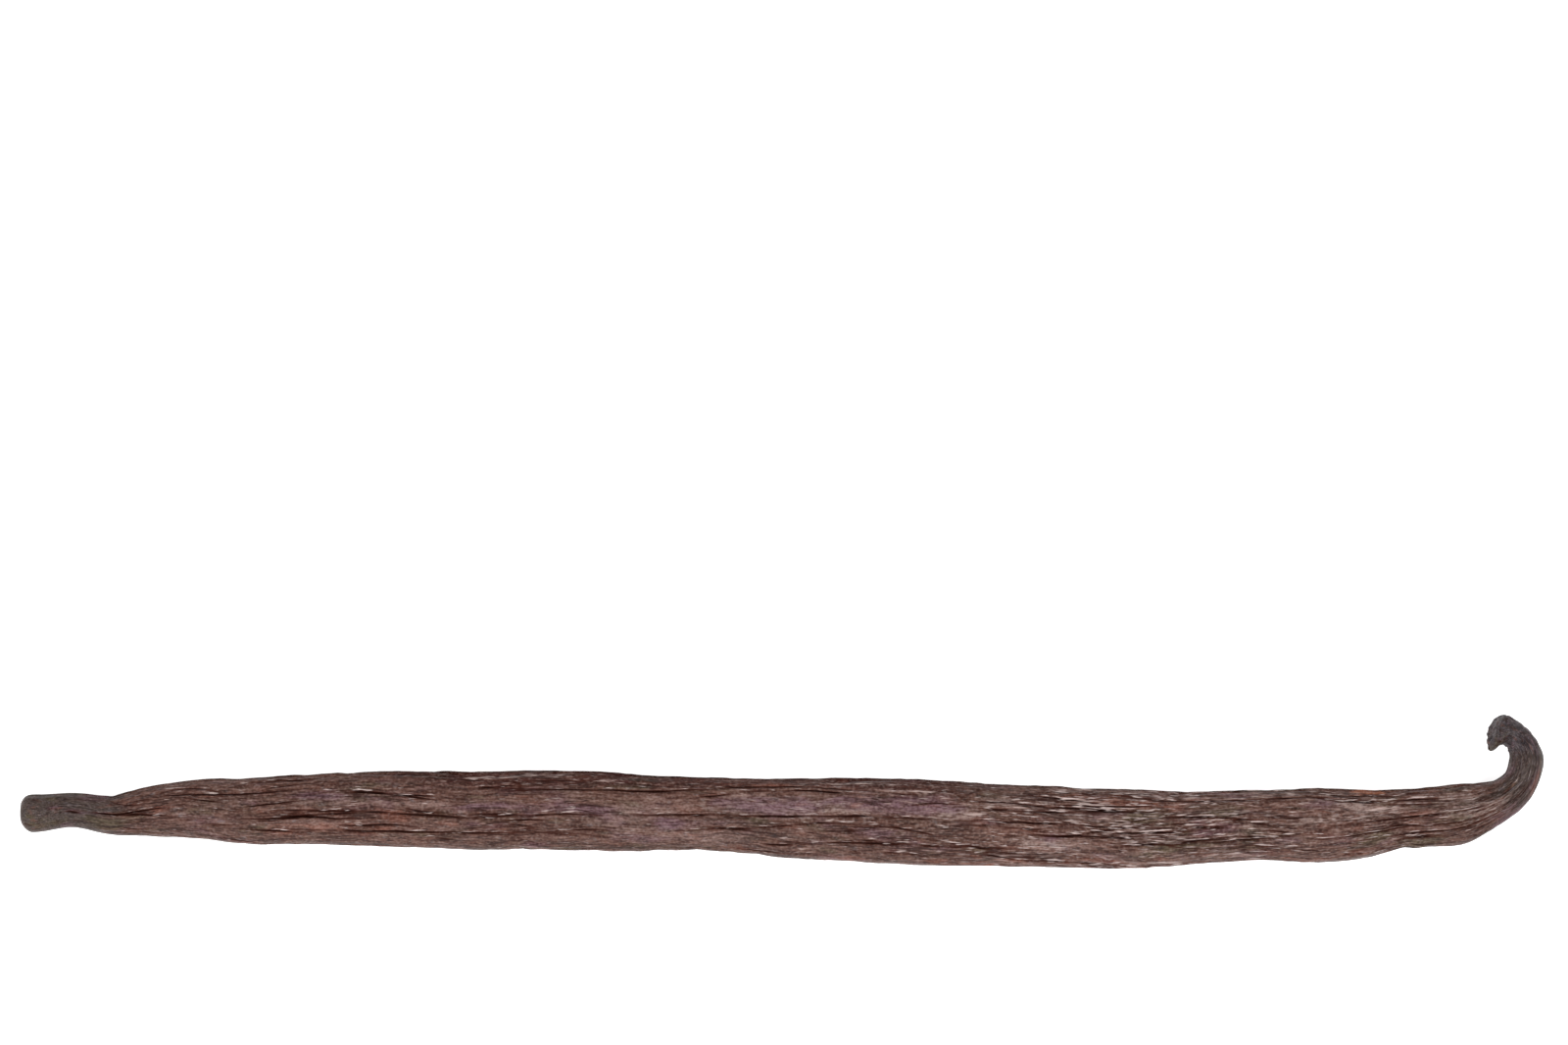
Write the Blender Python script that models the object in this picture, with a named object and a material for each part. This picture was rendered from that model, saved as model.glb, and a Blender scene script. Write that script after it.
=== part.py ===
# Cured vanilla bean: one whole pod, lying on its flattened side as it dries, with the
# stalk end curled into a hook and the blossom end left blunt.
#
# The pod runs along +X from its blossom end to its hook, the hook turns towards +Y, and
# +Z is up from the surface that the pod lies on. Sizes are written in millimetres and
# turned to Blender's metres as the mesh is placed.

import bmesh
import bpy
import numpy as np

MM = 0.001

# Middle line of the body, seen from above, from the blossom end to where the hook starts
BODY_LINE = (
    (-85.2, -2.5),
    (-83.2, -2.5),
    (-79.7, -2.2),
    (-74.5, -2.8),
    (-71.0, -2.4),
    (-65.5, -2.05),
    (-60.5, -2.25),
    (-54.0, -2.1),
    (-40.0, -2.15),
    (-35.5, -2.3),
    (-28.0, -2.1),
    (-22.0, -2.2),
    (-17.0, -2.45),
    (-8.0, -2.6),
    (0.0, -3.0),
    (9.0, -3.2),
    (17.7, -3.65),
    (30.8, -4.1),
    (43.9, -4.25),
    (51.5, -3.9),
    (57.1, -3.8),
    (62.0, -3.75),
    (65.8, -3.5),
    (69.5, -3.0),
    (74.8, -2.6),
    (78.1, -1.85),
    (80.8, -0.6),
    (82.4, 1.1),
)

# The hook is one round turn, with a short straight stub of stalk after it
HOOK_CENTRE = (80.1, 3.75)
HOOK_RADIUS = 3.0
HOOK_FROM_DEG, HOOK_TO_DEG = -20.0, 93.0
HOOK_STEPS = 8
STUB_LENGTH = 1.35
LINE_POINTS = 2400  # close points that the smooth middle line is read by

# Width seen from above, by distance along the middle line
WIDTHS = (
    (0.0, 4.4),
    (2.0, 4.25),
    (5.0, 3.85),
    (8.0, 4.0),
    (11.0, 4.5),
    (15.0, 5.55),
    (20.0, 6.5),
    (25.0, 7.3),
    (33.0, 7.7),
    (41.0, 8.3),
    (50.0, 8.5),
    (58.0, 8.7),
    (66.0, 8.65),
    (75.0, 8.1),
    (88.0, 9.0),
    (98.0, 9.65),
    (109.5, 9.2),
    (118.0, 9.1),
    (124.5, 8.9),
    (130.0, 8.3),
    (138.0, 7.9),
    (145.5, 8.3),
    (150.0, 7.6),
    (154.0, 6.65),
    (161.0, 6.4),
    (163.5, 5.5),
    (167.0, 4.3),
    (171.0, 3.7),
    (173.5, 3.2),
    (175.0, 3.3),
    (176.2, 3.6),
    (177.4, 3.7),
)

# Height of the section as a share of its width: the body dries flat, the stalk stays round
FLATNESS = (
    (0.0, 0.84),
    (8.0, 0.74),
    (26.0, 0.57),
    (60.0, 0.51),
    (125.0, 0.52),
    (150.0, 0.58),
    (163.0, 0.70),
    (171.0, 0.88),
    (176.5, 0.88),
)

# How far the underside stands off the surface: it touches at three low places
LIFT = (
    (0.0, 1.1),
    (12.0, 0.55),
    (28.0, 0.2),
    (40.0, 0.0),
    (62.0, 0.3),
    (86.0, 0.0),
    (108.0, 0.3),
    (128.0, 0.0),
    (145.0, 0.25),
    (160.0, 0.6),
    (170.0, 1.3),
    (176.5, 1.6),
)
PRESSED = 0.22  # how much of the soft skin is pressed flat where it touches

SECTION_POWER = 2.3  # 2 is an ellipse, and more makes the section squarer
SECTION_EVENING = 0.15  # shares the points of a flat section out evenly round it

# The closed ends: how long each rounding is, how blunt, and how deep its scar sinks
BLOSSOM_CAP = {"length": 1.5, "power": 2.6, "scar": 0.35, "rings": 6}
STALK_CAP = {"length": 1.4, "power": 2.3, "scar": 0.3, "rings": 6}
SCAR_SHARE = 0.6  # of the end's radius

# The stalk is broken off at a slant: how far its end leans for each millimetre towards the
# inside of the hook. Its outer corner is gone and its inner one stands out, by these shares
# of the squared distance from the middle line. The skin before the end leans with it.
STALK_SLANT = 0.15
STALK_CORNER_GONE = 0.3
STALK_CORNER_OUT = 0.12
STALK_SLANT_OVER = 3.5

# The blossom end's outer corner is gone in the same way
BLOSSOM_CORNER_GONE = 0.13
BLOSSOM_SLANT_OVER = 2.5

# Swollen places: distance along, share of the way round, half-length along and round, height
KNOBS = (
    (176.7, 0.0, 0.7, 0.8, 0.45),  # heel on the inside of the broken stalk
    (161.8, 0.5, 2.6, 2.2, 0.5),  # where the lower edge turns into the hook
)

# Rings of points along the pod: the place that each stretch starts from, and its rings
RING_STRETCHES = ((1.5, 8), (14.0, 33), (146.0, 6), (162.0, 17))
AROUND = 80  # points in a ring

# The long folds on the upper side, each as places (distance along, share across), where
# +1 is the edge that faces +Y and -1 the other. Depth and half-width are in millimetres.
LONG_FOLDS = (
    (0.42, 0.24, ((24, 0.03), (30, 0.0), (41, -0.06), (55, -0.12), (62, -0.02))),
    (0.38, 0.22, ((58, -0.04), (75, 0.0), (94, 0.11), (105, 0.1), (114, 0.03))),
    (0.26, 0.20, ((25, -0.34), (29, -0.18), (37, -0.24), (41, -0.16))),
    (0.30, 0.22, ((23, -0.42), (28, -0.53), (37, -0.56), (54, -0.54), (69, -0.63))),
    (0.30, 0.22, ((30, 0.36), (34, 0.5), (43, 0.44), (51, 0.33))),
    (0.40, 0.26, ((44, 0.72), (60, 0.57), (74, 0.66), (84, 0.8), (94, 0.7), (104, 0.6))),
    (0.26, 0.20, ((75, -0.30), (81, -0.33), (87, -0.12), (96, -0.1), (104, -0.28), (110, -0.3))),
    (0.26, 0.22, ((81, -0.6), (88, -0.58), (98, -0.5), (108, -0.5), (116, -0.56))),
    (0.34, 0.24, ((112, -0.16), (117, -0.18), (123, 0.04), (129, 0.06))),
    (0.34, 0.24, ((121, -0.42), (127, -0.38), (132, -0.32), (138, -0.26))),
    (0.30, 0.22, ((123, 0.3), (128, 0.34), (134, 0.28), (139, 0.14))),
    (0.28, 0.22, ((104, 0.44), (113, 0.41), (122, 0.46), (130, 0.5))),
    (0.26, 0.22, ((116, 0.76), (124, 0.78), (136, 0.74), (145, 0.76), (155, 0.5), (165, 0.42))),
    (0.28, 0.22, ((144, 0.02), (152, 0.06), (160, 0.1), (168, 0.16), (173, 0.2))),
    (0.28, 0.24, ((147, -0.46), (156, -0.5), (163, -0.4), (170, -0.3), (173, -0.25))),
    (0.26, 0.22, ((3, -0.1), (7, 0.08), (12, 0.1), (20, 0.2))),
)

FOLD_FADE = 0.6  # how soon a fold reaches its full depth from its ends, and less is sooner
FOLD_EDGE = 1.4  # how square a fold's edges are
ACROSS_POINTS = 400  # places over the upper side that a share across is looked up in

# Relief that covers the whole skin, drawn from one seed. A layer is its height, then its
# number of cells along the pod and round it.
SKIN_SEED = 11
SWELLING = ((0.14, 15, 5),)
WANDER = ((0.030, 13, 6), (0.009, 34, 12))  # of the ridges, as a share of the way round
RIDGES = ((1.0, 14, 18), (0.55, 31, 27))
RIDGE_HEIGHT = 0.17
RIDGE_FULL = 0.6  # where a ridge reaches its full height, as a height of the ridge layers
RIDGE_SUNK = 0.5  # share of its height that a ridge is sunk, so that the pod keeps its size
CREASE_DEPTH = 0.20
CREASE_SHARPNESS = 3.2
CREASE_EDGE = 1.5
UNDERSIDE_RELIEF = 0.5  # share of the relief left where the pod was pressed on its bed
FULL_RELIEF_HALF_WIDTH = 3.2  # the relief shrinks with the pod where it is narrower than this

SKIN_COLOUR = (0.118, 0.066, 0.052, 1.0)
SKIN_ROUGHNESS = 0.46


def smooth_through(at, table):
    """Reads a table of (place, value) as one smooth curve that passes through each value."""
    knots, values = np.array(table, float).T
    slopes = np.gradient(values, knots)
    i = np.clip(np.searchsorted(knots, at, side="right") - 1, 0, len(knots) - 2)
    span = knots[i + 1] - knots[i]
    t = np.clip((at - knots[i]) / span, 0.0, 1.0)
    rest = 1.0 - t
    from_left = rest**2 * ((1.0 + 2.0 * t) * values[i] + t * span * slopes[i])
    from_right = t**2 * ((3.0 - 2.0 * t) * values[i + 1] - rest * span * slopes[i + 1])
    return from_left + from_right


def middle_line():
    """The middle line as close points: distance along it, x, y and heading."""
    turn = np.radians(np.linspace(HOOK_FROM_DEG, HOOK_TO_DEG, HOOK_STEPS))
    hook = np.array(HOOK_CENTRE) + HOOK_RADIUS * np.column_stack([np.cos(turn), np.sin(turn)])
    onward = np.array([-np.sin(turn[-1]), np.cos(turn[-1])])
    points = np.vstack([BODY_LINE, hook, hook[-1] + STUB_LENGTH * onward])
    steps = np.hypot(*np.diff(points, axis=0).T)
    knots = np.concatenate([[0.0], np.cumsum(steps)])
    close = np.linspace(0.0, knots[-1], LINE_POINTS)
    x = smooth_through(close, np.column_stack([knots, points[:, 0]]))
    y = smooth_through(close, np.column_stack([knots, points[:, 1]]))
    along = np.concatenate([[0.0], np.cumsum(np.hypot(np.diff(x), np.diff(y)))])
    heading = np.unwrap(np.arctan2(np.gradient(y, along), np.gradient(x, along)))
    return along, x, y, heading


def cap_places(cap):
    """Rings of a closed end: distance from its tip, share of the full radius, sink of the scar."""
    angle = np.linspace(0.0, np.pi / 2, cap["rings"] + 1)[:-1]
    share = np.sin(angle) ** (2.0 / cap["power"])
    inward = cap["length"] * (1.0 - np.cos(angle) ** (2.0 / cap["power"]))
    scar = cap["scar"] * np.clip(1.0 - (share / SCAR_SHARE) ** 2, 0.0, None)
    return inward, share, scar


def ring_places(length):
    """Every ring from blossom to stalk: distance along, share of the full radius, shift along."""
    inward, share, scar = cap_places(BLOSSOM_CAP)
    inward_end, share_end, scar_end = cap_places(STALK_CAP)
    last = length - STALK_CAP["length"]
    starts = [start for start, rings in RING_STRETCHES] + [last]
    stretches = [
        np.linspace(start, end, rings, endpoint=False)
        for (start, rings), end in zip(RING_STRETCHES, starts[1:])
    ]
    between = np.concatenate(stretches + [[last]])
    along = np.concatenate([inward, between, (length - inward_end)[::-1]])
    radius = np.concatenate([share, np.ones(len(between)), share_end[::-1]])
    shift = np.concatenate([scar, np.zeros(len(between)), -scar_end[::-1]])
    return along, radius, shift


def section_angle(around):
    """Angle in the section for a share of the way round: 0 faces +Y, and a quarter faces up."""
    return 2.0 * np.pi * around + SECTION_EVENING * np.sin(4.0 * np.pi * around)


def power_cos_sin(angle):
    """Cosine and sine of the superellipse that the sections follow."""
    cos, sin = np.cos(angle), np.sin(angle)
    power = 2.0 / SECTION_POWER
    return np.sign(cos) * np.abs(cos) ** power, np.sign(sin) * np.abs(sin) ** power


def lattice_noise(random, along, around, cells_along, cells_around):
    """Smooth random heights from -1 to 1 over the skin, which meet themselves all the way round."""
    heights = random.uniform(-1.0, 1.0, (cells_along + 2, cells_around))
    row = np.clip(along, 0.0, 1.0) * cells_along
    column = around * cells_around
    i, j = np.floor(row).astype(int), np.floor(column).astype(int)
    u, v = row - i, column - j
    u, v = u * u * (3.0 - 2.0 * u), v * v * (3.0 - 2.0 * v)
    left, right = j % cells_around, (j + 1) % cells_around
    near = heights[i, left] * (1.0 - v) + heights[i, right] * v
    far = heights[i + 1, left] * (1.0 - v) + heights[i + 1, right] * v
    return near * (1.0 - u) + far * u


def layered_noise(random, along, around, layers):
    """Sum of noise layers, each given as its height and its cells along and round."""
    return sum(height * lattice_noise(random, along, around, *cells) for height, *cells in layers)


def skin_relief(share, around):
    """Swellings, lengthwise ridges and the creases between them, in millimetres outwards."""
    random = np.random.default_rng(SKIN_SEED)
    swelling = layered_noise(random, share, around, SWELLING)
    wander = layered_noise(random, share, around, WANDER)
    ridges = np.abs(layered_noise(random, share, around + wander, RIDGES))
    height = RIDGE_HEIGHT * (np.minimum(ridges / RIDGE_FULL, 1.0) - RIDGE_SUNK)
    crease = CREASE_DEPTH * np.clip(1.0 - CREASE_SHARPNESS * ridges, 0.0, 1.0) ** CREASE_EDGE
    return swelling + height - crease


def fold_relief(distance, around, girth):
    """The long folds on the upper side, as soft-edged grooves that fade out at both ends."""
    ways_round = np.linspace(0.0, 0.5, ACROSS_POINTS)
    across = power_cos_sin(section_angle(ways_round))[0]
    relief = np.zeros_like(distance)
    for depth, half_width, places in LONG_FOLDS:
        start, end = places[0][0], places[-1][0]
        share_across = smooth_through(distance, places)
        centre = np.interp(-share_across, -across, ways_round)
        off = np.abs(around - centre) * girth / half_width
        along = np.clip((distance - start) / (end - start), 0.0, 1.0)
        relief -= depth * np.sin(np.pi * along) ** FOLD_FADE * np.exp(-(off**FOLD_EDGE))
    return relief


def knob_relief(distance, around, girth):
    """The swollen places, each a round-topped rise that fades out on every side."""
    relief = np.zeros_like(distance)
    for at, share, half_along, half_round, height in KNOBS:
        off_along = (distance - at) / half_along
        off_round = (np.mod(around - share + 0.5, 1.0) - 0.5) * girth / half_round
        relief += height * np.exp(-(off_along**2) - off_round**2)
    return relief


def pod_points(ring, around):
    """Places on the pod's skin, in millimetres, for ring numbers and shares of the way round."""
    line_along, line_x, line_y, line_heading = middle_line()
    length = line_along[-1]
    along, radius, shift = (column[ring] for column in ring_places(length))

    half_width = smooth_through(along, WIDTHS) / 2.0
    half_height = half_width * smooth_through(along, FLATNESS)
    cos, sin = power_cos_sin(section_angle(around))
    girth = np.pi * (half_width + half_height)

    pressed = 1.0 - (1.0 - UNDERSIDE_RELIEF) * np.clip(-sin, 0.0, 1.0)
    relief = pressed * (skin_relief(along / length, around) + fold_relief(along, around, girth))
    relief *= np.clip(half_width / FULL_RELIEF_HALF_WIDTH, 0.0, 1.0)
    relief = radius * (relief + knob_relief(along, around, girth))

    normal = np.hypot(cos * half_height, sin * half_width)
    sideways = radius * half_width * cos + relief * cos * half_height / normal
    upwards = radius * half_height * sin + relief * sin * half_width / normal

    outer, inner = np.minimum(sideways, 0.0) ** 2, np.maximum(sideways, 0.0) ** 2
    slant = STALK_SLANT * sideways - STALK_CORNER_GONE * outer + STALK_CORNER_OUT * inner
    shift = shift + slant * np.clip((along - length) / STALK_SLANT_OVER + 1.0, 0.0, 1.0)
    near_blossom = np.clip(1.0 - along / BLOSSOM_SLANT_OVER, 0.0, 1.0)
    shift = shift + BLOSSOM_CORNER_GONE * outer * near_blossom

    heading = np.interp(along, line_along, line_heading)
    x = np.interp(along, line_along, line_x) + shift * np.cos(heading) - sideways * np.sin(heading)
    y = np.interp(along, line_along, line_y) + shift * np.sin(heading) + sideways * np.cos(heading)
    z = half_height + smooth_through(along, LIFT) - PRESSED + upwards
    return np.column_stack([x, y, np.maximum(z, 0.0)])


def skin_material():
    """Oily, dark brown cured skin."""
    material = bpy.data.materials.new("cured_skin")
    material.use_nodes = True
    shader = material.node_tree.nodes["Principled BSDF"]
    shader.inputs["Base Color"].default_value = SKIN_COLOUR
    shader.inputs["Roughness"].default_value = SKIN_ROUGHNESS
    shader.inputs["Metallic"].default_value = 0.0
    return material


def make_pod():
    """A ball whose poles are the pod's two ends, with each of its rings laid on the pod's skin."""
    rings = len(ring_places(middle_line()[0][-1])[0]) - 1
    ball = bmesh.new()
    bmesh.ops.create_uvsphere(ball, u_segments=AROUND, v_segments=rings, radius=1.0)
    mesh = bpy.data.meshes.new("vanilla_pod")
    ball.to_mesh(mesh)
    ball.free()

    places = np.empty(len(mesh.vertices) * 3)
    mesh.vertices.foreach_get("co", places)
    x, y, z = places.reshape(-1, 3).T
    ring = np.rint((0.5 + np.arcsin(np.clip(z, -1.0, 1.0)) / np.pi) * rings).astype(int)
    around = np.mod(np.rint(np.arctan2(y, x) / (2.0 * np.pi) * AROUND), AROUND) / AROUND

    skin = pod_points(ring, around)
    middle = (skin.min(axis=0) + skin.max(axis=0)) / 2.0
    middle[2] = 0.0
    mesh.vertices.foreach_set("co", ((skin - middle) * MM).ravel())
    mesh.materials.append(skin_material())
    mesh.shade_smooth()
    mesh.update()
    return bpy.data.objects.new("vanilla_pod", mesh)


def main():
    for old in list(bpy.data.objects):
        bpy.data.objects.remove(old)
    collection = bpy.data.collections.new("vanilla_bean")
    bpy.context.scene.collection.children.link(collection)
    collection.objects.link(make_pod())


main()
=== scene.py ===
# Cured vanilla bean on a white light table, seen from straight above.
#
# The pod is worked out along a straight line first, ring by ring, and then bent along its
# middle line. Sizes are millimetres until a mesh is filled, and metres from there on.
# "along" is the distance from the blossom end, and "across" goes over the upper side from
# -1 at the outer edge to 1 at the edge that the hook turns to. "round" is the share of the
# way round a section, from 0 at that second edge over 0.25 on top.
import math

import bpy
import numpy as np
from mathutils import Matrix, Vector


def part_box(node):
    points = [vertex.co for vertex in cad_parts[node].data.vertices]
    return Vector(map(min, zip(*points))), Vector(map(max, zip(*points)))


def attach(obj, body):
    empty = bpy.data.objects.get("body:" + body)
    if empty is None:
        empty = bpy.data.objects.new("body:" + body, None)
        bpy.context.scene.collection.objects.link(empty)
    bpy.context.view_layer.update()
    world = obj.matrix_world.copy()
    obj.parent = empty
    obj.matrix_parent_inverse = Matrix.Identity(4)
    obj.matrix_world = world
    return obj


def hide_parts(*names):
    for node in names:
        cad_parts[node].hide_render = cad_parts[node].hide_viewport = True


mm = 0.001
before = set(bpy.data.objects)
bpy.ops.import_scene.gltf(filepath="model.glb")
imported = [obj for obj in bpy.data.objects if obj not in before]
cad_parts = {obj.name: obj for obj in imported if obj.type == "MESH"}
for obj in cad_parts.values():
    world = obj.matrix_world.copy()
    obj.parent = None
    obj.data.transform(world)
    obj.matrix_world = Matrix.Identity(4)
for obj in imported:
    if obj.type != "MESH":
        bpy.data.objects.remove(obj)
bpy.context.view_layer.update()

# The form that the skin shares with the solid. The body's line is (x, y), and the other
# tables are (along, value).
form = {
    "node": "vanilla_pod",
    "bodyLine": (
        (-85.2, -2.5), (-83.2, -2.5), (-79.7, -2.2), (-74.5, -2.8), (-71.0, -2.4),
        (-65.5, -2.05), (-60.5, -2.25), (-54.0, -2.1), (-40.0, -2.15), (-35.5, -2.3),
        (-28.0, -2.1), (-22.0, -2.2), (-17.0, -2.45), (-8.0, -2.6), (0.0, -3.0),
        (9.0, -3.2), (17.7, -3.65), (30.8, -4.1), (43.9, -4.25), (51.5, -3.9),
        (57.1, -3.8), (62.0, -3.75), (65.8, -3.5), (69.5, -3.0), (74.8, -2.6),
        (78.1, -1.85), (80.8, -0.6), (82.4, 1.1),
    ),
    "hookCentre": (80.1, 3.75),
    "hookRadius": 3.0,
    "hookTurnDeg": (-20.0, 93.0),
    "hookSteps": 8,
    "stubLength": 1.35,
    "widths": (
        (0.0, 4.4), (2.0, 4.25), (5.0, 3.85), (8.0, 4.0), (11.0, 4.5), (15.0, 5.55),
        (20.0, 6.5), (25.0, 7.3), (33.0, 7.7), (41.0, 8.3), (50.0, 8.5), (58.0, 8.7),
        (66.0, 8.65), (75.0, 8.1), (88.0, 9.0), (98.0, 9.65), (109.5, 9.2), (118.0, 9.1),
        (124.5, 8.9), (130.0, 8.3), (138.0, 7.9), (145.5, 8.3), (150.0, 7.6), (154.0, 6.65),
        (161.0, 6.4), (163.5, 5.5), (167.0, 4.3), (171.0, 3.7), (173.5, 3.2), (175.0, 3.3),
        (176.2, 3.6), (177.4, 3.7),
    ),
    "flatness": (
        (0.0, 0.84), (8.0, 0.74), (26.0, 0.57), (60.0, 0.51), (125.0, 0.52), (150.0, 0.58),
        (163.0, 0.70), (171.0, 0.88), (176.5, 0.88),
    ),
    "lift": (
        (0.0, 1.1), (12.0, 0.55), (28.0, 0.2), (40.0, 0.0), (62.0, 0.3), (86.0, 0.0),
        (108.0, 0.3), (128.0, 0.0), (145.0, 0.25), (160.0, 0.6), (170.0, 1.3), (176.5, 1.6),
    ),
    "pressed": 0.22,
    "sectionPower": 2.3,
    "sectionEvening": 0.15,
    "blossomCap": {"length": 1.5, "power": 2.6, "scar": 0.35},
    "stalkCap": {"length": 1.4, "power": 2.3, "scar": 0.3},
    "scarShare": 0.6,
    "stalkSlant": 0.15,
    "stalkCornerGone": 0.3,
    "stalkCornerOut": 0.12,
    "stalkSlantOver": 3.5,
    "blossomCornerGone": 0.13,
    "blossomSlantOver": 2.5,
    # along, round, half-length, half-width in millimetres, height
    "knobs": ((176.7, 0.0, 0.7, 0.8, 0.45), (161.8, 0.5, 2.6, 2.2, 0.5)),
    "skinSeed": 11,
    "swelling": ((0.14, 15, 5),),  # noise: height, cells along, cells round
    "wander": ((0.030, 13, 6), (0.009, 34, 12)),
    "ridges": ((1.0, 14, 18), (0.55, 31, 27)),
    "undersideRelief": 0.5,
    "fullReliefHalfWidth": 3.2,
    "folds": (  # depth, places (along, across)
        (0.42, ((24, 0.03), (30, 0.0), (41, -0.06), (55, -0.12), (62, -0.02))),
        (0.38, ((58, -0.04), (75, 0.0), (94, 0.11), (105, 0.1), (114, 0.03))),
        (0.26, ((25, -0.34), (29, -0.18), (37, -0.24), (41, -0.16))),
        (0.30, ((23, -0.42), (28, -0.53), (37, -0.56), (54, -0.54), (69, -0.63))),
        (0.30, ((30, 0.36), (34, 0.5), (43, 0.44), (51, 0.33))),
        (0.40, ((44, 0.72), (60, 0.57), (74, 0.66), (84, 0.8), (94, 0.7), (104, 0.6))),
        (0.26, ((75, -0.30), (81, -0.33), (87, -0.12), (96, -0.1), (104, -0.28), (110, -0.3))),
        (0.26, ((81, -0.6), (88, -0.58), (98, -0.5), (108, -0.5), (116, -0.56))),
        (0.34, ((112, -0.16), (117, -0.18), (123, 0.04), (129, 0.06))),
        (0.34, ((121, -0.42), (127, -0.38), (132, -0.32), (138, -0.26))),
        (0.30, ((123, 0.3), (128, 0.34), (134, 0.28), (139, 0.14))),
        (0.28, ((104, 0.44), (113, 0.41), (122, 0.46), (130, 0.5))),
        (0.26, ((116, 0.76), (124, 0.78), (136, 0.74), (145, 0.76), (155, 0.5), (165, 0.42))),
        (0.28, ((144, 0.02), (152, 0.06), (160, 0.1), (168, 0.16), (173, 0.2))),
        (0.28, ((147, -0.46), (156, -0.5), (163, -0.4), (170, -0.3), (173, -0.25))),
        (0.26, ((3, -0.1), (7, 0.08), (12, 0.1), (20, 0.2))),
    ),
}

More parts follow.
